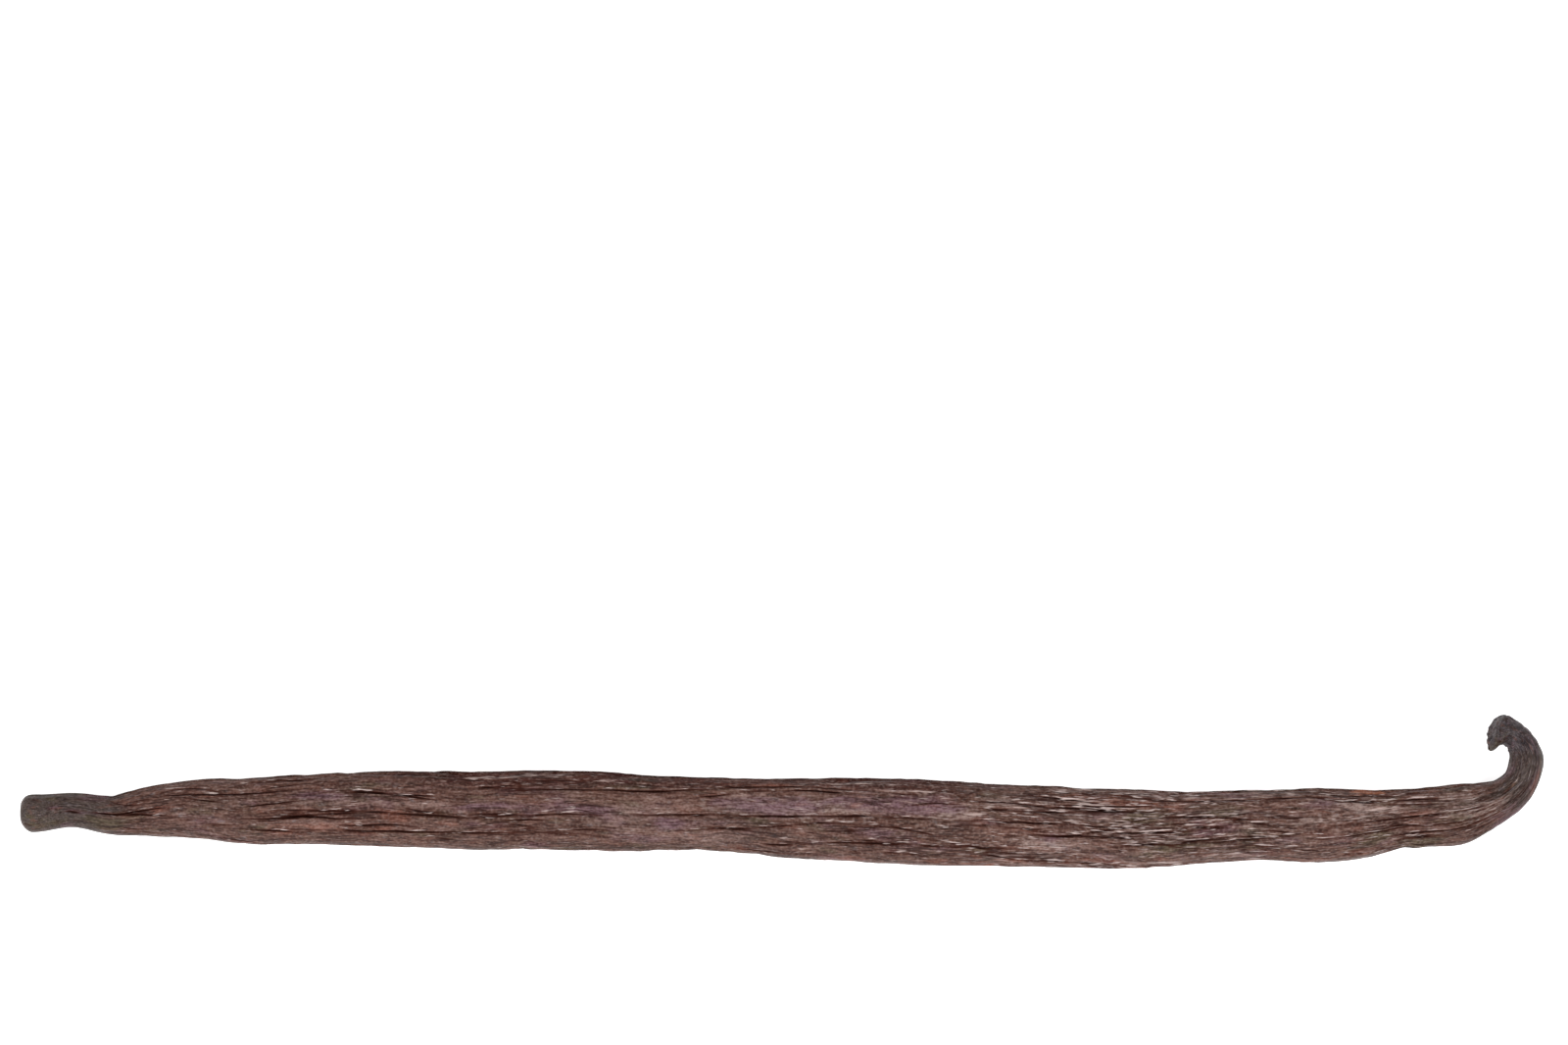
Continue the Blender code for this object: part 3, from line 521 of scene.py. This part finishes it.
# The skin as arrays of rings by points round a ring: places in millimetres, the unbent
# places that the grain follows, and the marks that the material reads. Each ring is a
# superellipse as wide and high as the pod is there. The relief moves its points square to
# its edge: flat islands with creases between them, furrows, puckers, swellings and dents.
# The ring is then set across the bent middle line, lifted, and pressed flat on the table.
def podSkin():
    lineAlong, lineX, lineY, lineHeading = middleLine()
    length = lineAlong[-1]
    ringAlong, ringRadius, ringShift = ringPlaces(length)
    step = np.arange(skin["around"]) / skin["around"]
    ringAround = (step + skin["topFiner"] * (np.cos(2.0 * np.pi * step) - 1.0)) % 1.0
    along, around = np.broadcast_arrays(ringAlong[:, None], ringAround[None, :])
    radius, shift = ringRadius[:, None], ringShift[:, None]

    halfWidth = smoothThrough(along, form["widths"]) / 2.0
    halfHeight = halfWidth * smoothThrough(along, form["flatness"])
    cos, sin = powerCosSin(sectionAngle(around))
    girth = np.pi * (halfWidth + halfHeight)
    share = along / length
    # it goes on past 1 and -1 round the edges, to 2 and -2 under the middle
    across = np.where(sin >= 0.0, cos, np.sign(cos) * (2.0 - np.abs(cos)))

    # the solid's own swellings and ridges, from the same draws, with flatter islands
    random = np.random.default_rng(form["skinSeed"])
    swelling = layeredNoise(random, share, around, form["swelling"])
    wander = skin["laneWander"] * layeredNoise(random, share, around, form["wander"])
    ridges = np.abs(layeredNoise(random, share, around + wander, form["ridges"]))
    islands = skin["islandHeight"] * (np.minimum(ridges / skin["islandEdge"], 1.0) - skin["islandSunk"])
    crease = np.clip(1.0 - skin["creaseSharpness"] * ridges, 0.0, 1.0)

    # where the skin is calm or crowded, and the end that is a lumpy knob
    fine = np.random.default_rng(skin["fineSeed"])
    wavering = layeredNoise(fine, share, around, skin["fineWander"])
    lanes = around + wander + wavering
    comeAndGo = layeredNoise(fine, share, around, skin["comeAndGo"])
    comeAndGo = smoothStep(comeAndGo, *skin["comeAndGoFrom"])
    uneven = smoothStep(layeredNoise(fine, share, around, skin["uneven"]), *skin["unevenFrom"])
    uneven = skin["unevenLeast"] + (1.0 - skin["unevenLeast"]) * uneven
    calm = sum(patch(along, across - at, place, half, reach) for place, at, half, reach in skin["calm"])
    calm = np.clip(calm, 0.0, 1.0)
    crowded = sum(np.exp(-(((along - at) / reach) ** 2)) for at, reach in skin["crowded"])
    knob = smoothStep(along, *skin["knobFrom"])
    wrinkled = 1.0 - skin["neckShare"] * smoothStep(along, *skin["neckFrom"])
    busy = skin["strewnLeast"] + (1.0 - skin["strewnLeast"]) * crowded
    busy = np.clip(busy * (1.0 - calm), 0.0, 1.0) * (1.0 - knob)

    crease = crease * comeAndGo * (1.0 - calm)
    fields = {
        "relief": islands * (1.0 - skin["calmIslands"] * calm) - skin["creaseDepth"] * crease,
        "furrow": skin["creaseDark"] * crease**2,
        "lip": np.zeros_like(crease),
        "uneven": uneven,
        "girth": girth,
    }
    strewFurrows(fields, ringAlong, lanes, busy, fine)
    cutPlacedFurrows(fields, ringAlong, around + wavering)
    pucker = layeredNoise(fine, share, lanes, skin["pucker"]) * (1.0 - skin["calmPucker"] * calm)
    relief = (fields["relief"] * wrinkled + pucker) * (1.0 - knob) + swelling

    underside = np.clip(-sin, 0.0, 1.0)
    relief = relief * (1.0 - (1.0 - form["undersideRelief"]) * underside)
    relief = relief * np.clip(halfWidth / form["fullReliefHalfWidth"], 0.0, 1.0)
    for at, knobRound, halfAlong, halfRound, height in form["knobs"] + skin["dents"]:
        offRound = np.mod(around - knobRound + 0.5, 1.0) - 0.5
        relief = relief + height * patch(along, offRound, at, halfAlong, halfRound / girth)
    unbent = np.stack(
        np.broadcast_arrays(along, radius * halfWidth * cos, radius * halfHeight * sin), axis=-1
    )
    for height, size in skin["knobLumps"]:
        relief = relief + height * knob * blockNoise(unbent, size, skin["fineSeed"])
    relief = relief * radius

    # each point moves square to its section's edge
    normal = np.hypot(cos * halfHeight, sin * halfWidth)
    sideways = radius * halfWidth * cos + relief * cos * halfHeight / normal
    upwards = radius * halfHeight * sin + relief * sin * halfWidth / normal
    tornStart, tornEnd = skin["tornBefore"]
    torn = smoothStep(along, length - tornStart, length - tornEnd) * (1.0 - skin["tornRim"] * radius**6)
    shift = shift + skin["tornDepth"] * torn * blockNoise(unbent, skin["tornCell"], skin["fineSeed"] + 1)
    shift = shift + endShift(along, length, sideways, upwards, halfHeight)

    heading = np.interp(along, lineAlong, lineHeading)
    x = np.interp(along, lineAlong, lineX) + shift * np.cos(heading) - sideways * np.sin(heading)
    y = np.interp(along, lineAlong, lineY) + shift * np.sin(heading) + sideways * np.cos(heading)
    z = halfHeight + smoothThrough(along, form["lift"]) - form["pressed"] + upwards
    places = np.stack([x, y, np.maximum(z, 0.0)], axis=-1)

    # the grain runs in the same lanes as the furrows, and closes up where the pod narrows
    laneRadius = np.sqrt(girth * girth.max()) / (2.0 * np.pi) * radius
    laneAngle = 2.0 * np.pi * lanes
    ends = np.maximum(knob, 1.0 - smoothStep(along, *skin["packedTo"]))[:, 0]
    packed = 1.0 + (skin["grainPacked"] - 1.0) * ends
    grainAlong = np.cumsum(packed * np.gradient(ringAlong))[:, None] + shift
    grain = np.stack([grainAlong, laneRadius * np.cos(laneAngle), laneRadius * np.sin(laneAngle)], axis=-1)

    # painted shade at the edges, where the sides turn away: broad on the side that the hook turns to, but
    # not on the hook itself
    hookSide = smoothStep(cos, *skin["hookSideFrom"]) * (1.0 - smoothStep(along, *skin["neckFrom"]))
    edgeReach = skin["edgeReach"] + skin["edgeBroader"] * hookSide
    edge = (1.0 - smoothStep(np.abs(sin), skin["edgeFrom"], edgeReach)) * (1.0 - torn)
    furrow = np.clip(fields["furrow"], 0.0, 1.0) * wrinkled * (1.0 - knob)
    furrow = furrow * (1.0 - skin["undersideFurrows"] * underside)
    strip = skin["strip"]
    beyond = across - smoothThrough(along, strip["fold"])
    inStrip = smoothStep(beyond, 0.0, strip["wide"]) * smoothStep(along, *strip["from"])
    marks = {
        "furrow": furrow,
        "lip": fields["lip"] * (1.0 - underside) * (1.0 - knob),
        "calm": calm,
        "crowded": np.clip(crowded, 0.0, 1.0) * (1.0 - knob),
        "edge": edge,
        "matt": np.clip(np.maximum(skin["mattEdge"] * edge, furrow), 0.0, 1.0),
        "strip": inStrip * (1.0 - smoothStep(along, *strip["to"])) * (1.0 - underside),
        "dry": np.maximum(1.0 - smoothStep(along, *skin["dryTo"]), smoothStep(along, *skin["dryFrom"])),
        "charred": smoothStep(along, *skin["charredFrom"]),
    }
    for name, stains in skin["stains"].items():
        spots = sum(patch(along, across - at, place, half, reach) for place, at, half, reach in stains)
        marks[name] = np.clip(spots, 0.0, 1.0)
    return places, grain, marks


# A closed mesh from rings by points round: quads between the rings, and the first and the
# last ring each drawn together to one point and closed with a fan.
def closedMesh(name, rings, fields):
    count, around = rings.shape[:2]

    def withPoles(values):
        values = values.reshape(count, around, -1)
        inner = values[1:-1].reshape(-1, values.shape[-1])
        return np.vstack([values[0].mean(axis=0), inner, values[-1].mean(axis=0)])

    points = withPoles(rings)
    index = 1 + np.arange((count - 2) * around).reshape(count - 2, around)
    onward = np.roll(index, -1, axis=1)
    quads = np.stack([index[:-1], onward[:-1], onward[1:], index[1:]], axis=-1).reshape(-1, 4)
    first = np.column_stack([np.zeros(around, int), onward[0], index[0]])
    last = np.column_stack([np.full(around, len(points) - 1), index[-1], onward[-1]])
    mesh = bpy.data.meshes.new(name)
    mesh.from_pydata(points * mm, [], quads.tolist() + first.tolist() + last.tolist())
    for label, field in fields.items():
        kind, key = ("FLOAT_VECTOR", "vector") if field.ndim == 3 else ("FLOAT", "value")
        attribute = mesh.attributes.new(label, kind, "POINT")
        attribute.data.foreach_set(key, withPoles(field).astype(np.float32).ravel())
    mesh.shade_smooth()
    mesh.update()
    piece = bpy.data.objects.new(name, mesh)
    bpy.context.scene.collection.objects.link(piece)
    return piece


# A colour written as sRGB hex, as the linear values that Blender works in.
def linear(hexCode):
    channels = [int(hexCode[i:i + 2], 16) / 255.0 for i in (1, 3, 5)]
    return [c / 12.92 if c <= 0.04045 else ((c + 0.055) / 1.055) ** 2.4 for c in channels] + [1.0]


# Adds a node with its settings and its inputs: a tuple is a link from (node, output), and
# anything else is the socket's own value.
def addNode(tree, kind, settings, inputs):
    node = tree.nodes.new(kind)
    for name, value in settings.items():
        setattr(node, name, value)
    for socket, value in inputs.items():
        if isinstance(value, tuple):
            tree.links.new(value[0].outputs[value[1]], node.inputs[socket])
        else:
            node.inputs[socket].default_value = value
    return node


# Cured vanilla skin: the fruit's wall, sweated and dried for months into thin leather. The
# eye sees dark brown in mauve, rusty and olive blotches, with a low oily gloss on top, and matt in
# the furrows and at the edges. These are nearly black: the furrows' own darker colour with painted
# shade, and painted shade at the edges. Pale painted highlights lie on the lit side of the furrows
# and wrinkles. The default IOR of 1.5 suits its oil.
# The real grain is taken to be under 0.1 mm: hair and grit are drawn coarser, so that they show.
leather = {
    "slot": "cured_skin",
    "brown": "#694b42",
    # size along and across in millimetres, detail, where it starts, and how far it is moved
    # towards the hook's side: the same pattern moved by a little lies on the lit side of a line, for a
    # painted highlight
    "noises": {
        "blotch": (9.0, 2.0, 2.0, 0, 0.0),
        "mauveCloud": (5.0, 1.6, 2.0, 1, 0.0),
        "rustCloud": (3.4, 0.9, 2.0, 2, 0.0),
        "oliveCloud": (4.4, 1.4, 2.0, 3, 0.0),
        "silverLine": (1.6, 0.20, 2.0, 4, 0.0),
        "mottle": (0.9, 0.6, 3.0, 5, 0.0),
        "streak": (1.9, 0.25, 2.0, 6, 0.0),
        "hair": (0.7, 0.15, 1.0, 12, 0.0),
        "grit": (0.30, 0.22, 0.0, 7, 0.0),
        "glint": (1.6, 0.16, 2.0, 11, 0.0),
        "where": (6.0, 1.3, 3.0, 8, 0.0),
        "crease": (10.0, 0.66, 3.0, 9, 0.0),
        "creaseLit": (10.0, 0.66, 3.0, 9, 0.15),
        "wrinkle": (4.6, 0.36, 2.0, 10, 0.0),
        "wrinkleLit": (4.6, 0.36, 2.0, 10, 0.11),
    },
    "noiseStep": (3.7, 5.3, 1.9),  # how far apart the starts of two patterns are, in their sizes
    "ridged": ("crease", "creaseLit", "wrinkle", "wrinkleLit"),  # read as a distance from ridgeAt
    "ridgeAt": 0.5,
    # A layer shows where its pattern, with others added to it, is between two values:
    # colour, how it is laid on, pattern, others and their shares, starts at, full at, most, height
    "layers": (
        ("#4a3229", "MIX", "blotch", (("calm", -0.20), ("crowded", 0.08)), 0.48, 0.66, 0.55, 0.0),
        ("#8a7069", "MIX", "blotch", (("calm", 0.24), ("crowded", 0.12)), 0.58, 0.86, 0.78, 0.0),
        # paler mottling, partly a painted sheen where it is pale
        ("#98847d", "MIX", "mottle", (("pale", 0.40),), 0.62, 0.92, 0.90, 0.0),
        ("#4a423e", "MIX", "blotch", (("dry", 0.70),), 0.70, 1.10, 0.88, 0.0),
        ("#37323a", "MIX", "blotch", (("charred", 0.80),), 0.75, 1.05, 0.90, 0.0),
        ("#5f575a", "MIX", "mottle", (("charred", 0.12), ("dry", 0.08)), 0.58, 0.76, 0.65, 0.0),
        ("#2c2427", "MIX", "mottle", (("charred", -0.12), ("dry", -0.03)), 0.40, 0.26, 0.60, 0.0),
        ("#72555f", "MIX", "mauveCloud", (("mauve", 0.30),), 0.54, 0.84, 0.84, 0.0),
        ("#855546", "MIX", "rustCloud", (("rust", 0.28),), 0.55, 0.86, 0.72, 0.0),
        ("#564c39", "MIX", "oliveCloud", (("olive", 0.26),), 0.55, 0.82, 0.80, 0.0),
        # the strip beyond the fold: its dark red-brown, with painted shade where the skin turns away
        ("#3f150e", "MIX", "streak", (("strip", 0.45),), 0.66, 1.02, 0.78, 0.0),
        # painted shade at the edges, where the sides turn away from the light
        ("#231611", "MIX", "streak", (("edge", 0.70),), 0.82, 1.24, 0.80, 0.0),
        ("#a0664a", "MIX", "streak", (("tan", 0.60),), 0.75, 1.00, 0.90, 0.0),
        ("#b9a7a1", "MULTIPLY", "streak", (("where", 0.10), ("calm", 0.05)), 0.62, 0.42, 1.00, -0.4),
        ("#94796f", "MIX", "streak", (("crowded", 0.04), ("dry", -0.10)), 0.54, 0.76, 0.34, 0.4),
        ("#a68e86", "MIX", "streak", (("crowded", 0.06), ("calm", 0.03), ("dry", -0.10)),
         0.64, 0.80, 0.50, 0.3),
        ("#c2b2ac", "MULTIPLY", "hair", (("calm", 0.03),), 0.54, 0.34, 0.80, -0.2),
        ("#9a8279", "MIX", "hair", (("dry", -0.06), ("calm", -0.03)), 0.56, 0.78, 0.25, 0.2),
        ("#b6a6a0", "MULTIPLY", "grit", (), 0.54, 0.28, 0.55, 0.0),
        ("#9a857e", "MIX", "grit", (("dry", -0.05),), 0.54, 0.80, 0.22, 0.0),
        # painted shade: the wrinkles drawn as dark lines
        ("#46261c", "MIX", "wrinkle", (("where", 0.15), ("crowded", -0.006), ("calm", 0.02)),
         0.088, 0.062, 0.58, -1.0),
        # painted highlight on the lit side of each wrinkle
        ("#9e857d", "MIX", "wrinkleLit",
         (("where", 0.15), ("crowded", -0.020), ("dry", 0.02), ("calm", 0.03)),
         0.066, 0.042, 0.24, 0.3),
        # painted shade: the creases drawn as nearly black lines
        ("#2e130c", "MIX", "crease", (("where", 0.15), ("crowded", -0.006), ("calm", 0.02)),
         0.090, 0.070, 0.86, -1.6),
        # painted highlight on the lit side of each crease
        ("#a78f88", "MIX", "creaseLit",
         (("where", 0.15), ("crowded", -0.022), ("dry", 0.02), ("calm", 0.03)),
         0.064, 0.046, 0.32, 0.3),
        # the furrows' own darker colour, with painted shade in and beside them
        ("#3c1a11", "MIX", "furrow", (("streak", 0.6),), 0.65, 0.92, 0.84, -0.5),
        ("#1c0804", "MIX", "furrow", (("streak", 0.6),), 0.84, 1.12, 0.96, -0.5),
        # painted highlights: pale glints along the furrows' lit lips, and more where it is crowded
        ("#cab7b2", "MIX", "glint", (("lip", 0.150), ("crowded", 0.075), ("dry", -0.05)),
         0.66, 0.82, 0.92, 0.5),
        # painted highlights: bright streaks at the listed places
        ("#c4ada6", "MIX", "silverLine", (("silver", 0.24),), 0.66, 0.88, 0.70, 0.5),
    ),
    "glossOver": (0.3, 0.7),  # the values of the streaks between which the roughness goes
    "roughness": (0.36, 0.56),
    "specular": (0.22, 0.0),  # on top, and at the edges and in the furrows, where the skin is matt
    "bumpMm": 0.03,  # a layer of height 1 stands this high
}


# Reads the marks and the grain that the mesh holds, makes each noise from the grain, and
# lays the layers on one after another, with their heights added up for the bump.
def makeLeather(markNames):
    material = bpy.data.materials.new("curedVanillaLeather")
    material.use_nodes = True
    tree = material.node_tree
    shader = tree.nodes["Principled BSDF"]
    patterns = {}
    for name in markNames:
        mark = addNode(tree, "ShaderNodeAttribute", {"attribute_name": name}, {})
        patterns[name] = (mark, "Fac")
    grain = addNode(tree, "ShaderNodeAttribute", {"attribute_name": "grain"}, {})
    stepAlong, stepAcross, stepUp = leather["noiseStep"]
    for name, (sizeAlong, sizeAcross, detail, start, moved) in leather["noises"].items():
        across = 1.0 / (sizeAcross * mm)
        stretch = addNode(
            tree, "ShaderNodeMapping", {},
            {
                "Vector": (grain, "Vector"),
                "Location": [
                    stepAlong * start, stepAcross * start - moved / sizeAcross, stepUp * start,
                ],
                "Scale": [1.0 / (sizeAlong * mm), across, across],
            },
        )
        noise = addNode(
            tree, "ShaderNodeTexNoise", {}, {"Vector": (stretch, "Vector"), "Scale": 1.0, "Detail": detail}
        )
        patterns[name] = (noise, 0)
    for name in leather["ridged"]:
        centred = addNode(
            tree, "ShaderNodeMath", {"operation": "SUBTRACT"}, {0: patterns[name], 1: leather["ridgeAt"]}
        )
        distance = addNode(tree, "ShaderNodeMath", {"operation": "ABSOLUTE"}, {0: (centred, 0)})
        patterns[name] = (distance, 0)

    colour, height = linear(leather["brown"]), 0.0
    for hexCode, laidOn, pattern, others, starts, full, most, lift in leather["layers"]:
        value = patterns[pattern]
        for other, share in others:
            added = addNode(
                tree, "ShaderNodeMath", {"operation": "MULTIPLY_ADD"},
                {0: patterns[other], 1: share, 2: value},
            )
            value = (added, 0)
        shows = addNode(
            tree, "ShaderNodeMapRange", {"interpolation_type": "SMOOTHSTEP"},
            {"Value": value, "From Min": starts, "From Max": full, "To Min": 0.0, "To Max": most},
        )
        layer = addNode(
            tree, "ShaderNodeMix", {"data_type": "RGBA", "blend_type": laidOn},
            {0: (shows, 0), 6: colour, 7: linear(hexCode)},
        )
        colour = (layer, 2)
        if lift:
            raised = addNode(
                tree, "ShaderNodeMath", {"operation": "MULTIPLY_ADD"},
                {0: (shows, 0), 1: lift, 2: height},
            )
            height = (raised, 0)

    (low, high), (smooth, rough) = leather["glossOver"], leather["roughness"]
    gloss = addNode(
        tree, "ShaderNodeMapRange", {},
        {"Value": patterns["streak"], "From Min": low, "From Max": high, "To Min": smooth, "To Max": rough},
    )
    onTop, inFurrows = leather["specular"]
    shine = addNode(
        tree, "ShaderNodeMapRange", {}, {"Value": patterns["matt"], "To Min": onTop, "To Max": inFurrows}
    )
    bump = addNode(
        tree, "ShaderNodeBump", {}, {"Strength": 1.0, "Distance": leather["bumpMm"] * mm, "Height": height}
    )
    tree.links.new(colour[0].outputs[colour[1]], shader.inputs["Base Color"])
    tree.links.new(gloss.outputs[0], shader.inputs["Roughness"])
    tree.links.new(shine.outputs[0], shader.inputs["Specular IOR Level"])
    tree.links.new(bump.outputs[0], shader.inputs["Normal"])
    return material


# The skin is stretched slightly along each axis, so that it fills the solid's own box.
def makePod():
    places, grain, marks = podSkin()
    low, high = places.reshape(-1, 3).min(axis=0), places.reshape(-1, 3).max(axis=0)
    boxLow, boxHigh = (np.array(corner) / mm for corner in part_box(form["node"]))
    places = boxLow + (places - low) * (boxHigh - boxLow) / (high - low)
    piece = closedMesh("vanilla_skin", places, {"grain": grain * mm, **marks})
    piece.data.materials.append(makeLeather(list(marks)))
    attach(piece, "root")
    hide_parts(form["node"])
    print("skin made,", sum(len(face.vertices) - 2 for face in piece.data.polygons), "triangles")


makePod()

# The photograph's frame, which the camera takes in from straight above
picture = {
    "widthPx": 1600,
    "heightPx": 1066,
    "mmPerPx": 0.10947,
    "podMiddlePx": (798.5, 807.5),
    "lensMm": 100.0,
    "sensorMm": 36.0,
    "focusHeightMm": 2.4,  # half the pod's height, where the scale above is exact
}


def makeCamera():
    data = bpy.data.cameras.new("camera")
    data.lens = picture["lensMm"]
    data.sensor_width = picture["sensorMm"]
    camera = bpy.data.objects.new("camera", data)
    frameWidth = picture["widthPx"] * picture["mmPerPx"]
    distance = frameWidth * picture["lensMm"] / picture["sensorMm"]
    x = (picture["widthPx"] / 2 - picture["podMiddlePx"][0]) * picture["mmPerPx"]
    y = (picture["podMiddlePx"][1] - picture["heightPx"] / 2) * picture["mmPerPx"]
    camera.location = (x * mm, y * mm, (picture["focusHeightMm"] + distance) * mm)
    bpy.context.scene.collection.objects.link(camera)
    bpy.context.scene.camera = camera


makeCamera()
print("camera placed")

# A light table of opal acrylic, cast and lit from below: an even milky white without grain,
# whose glow leaves the pod hardly any shadow
table = {
    "sizeM": 3.0,
    "belowMm": 0.02,  # the pod's flat places and the table aren't quite in one plane
    "white": "#f4f4f4",
    "glow": 0.76,
    "roughness": 0.5,
}


def makeTable():
    side = table["sizeM"] / 2
    mesh = bpy.data.meshes.new("light_table")
    low = -table["belowMm"] * mm
    corners = [(-side, -side, low), (side, -side, low), (side, side, low), (-side, side, low)]
    mesh.from_pydata(corners, [], [(0, 1, 2, 3)])
    piece = bpy.data.objects.new("light_table", mesh)
    bpy.context.scene.collection.objects.link(piece)
    material = bpy.data.materials.new("opalAcrylic")
    material.use_nodes = True
    shader = material.node_tree.nodes["Principled BSDF"]
    shader.inputs["Base Color"].default_value = linear(table["white"])
    shader.inputs["Roughness"].default_value = table["roughness"]
    shader.inputs["Emission Color"].default_value = linear(table["white"])
    shader.inputs["Emission Strength"].default_value = table["glow"]
    mesh.materials.append(material)


makeTable()
print("table laid")

# Soft studio light: two panels at the pod's ends, which throw no shadow beside it, a long
# narrow one on the near side, which the lips of the furrows catch, and a dim white room.
# Places and sizes are in metres.
lights = {
    "panels": {
        "left": {"from": (-0.62, -0.06, 0.60), "long": 0.50, "wide": 0.40, "watts": 4.2},
        "right": {"from": (0.62, 0.06, 0.60), "long": 0.50, "wide": 0.40, "watts": 3.4},
        "near": {"from": (0.0, -0.50, 0.54), "long": 0.60, "wide": 0.06, "watts": 2.4},
    },
    "room": 0.26,
}


# Each panel is turned to face the middle of the table.
def makeLights():
    for name, light in lights["panels"].items():
        data = bpy.data.lights.new(name, "AREA")
        data.shape = "RECTANGLE"
        data.size, data.size_y = light["long"], light["wide"]
        data.energy = light["watts"]
        lamp = bpy.data.objects.new(name, data)
        lamp.location = light["from"]
        x, y, z = light["from"]
        lamp.rotation_euler = (math.atan2(math.hypot(x, y), z), 0.0, math.atan2(y, x) + math.pi / 2)
        bpy.context.scene.collection.objects.link(lamp)
    world = bpy.data.worlds.new("room")
    world.use_nodes = True
    background = world.node_tree.nodes["Background"]
    background.inputs["Color"].default_value = (1.0, 1.0, 1.0, 1.0)
    background.inputs["Strength"].default_value = lights["room"]
    bpy.context.scene.world = world
    bpy.context.scene.view_settings.view_transform = "Standard"


makeLights()
print("lights placed")
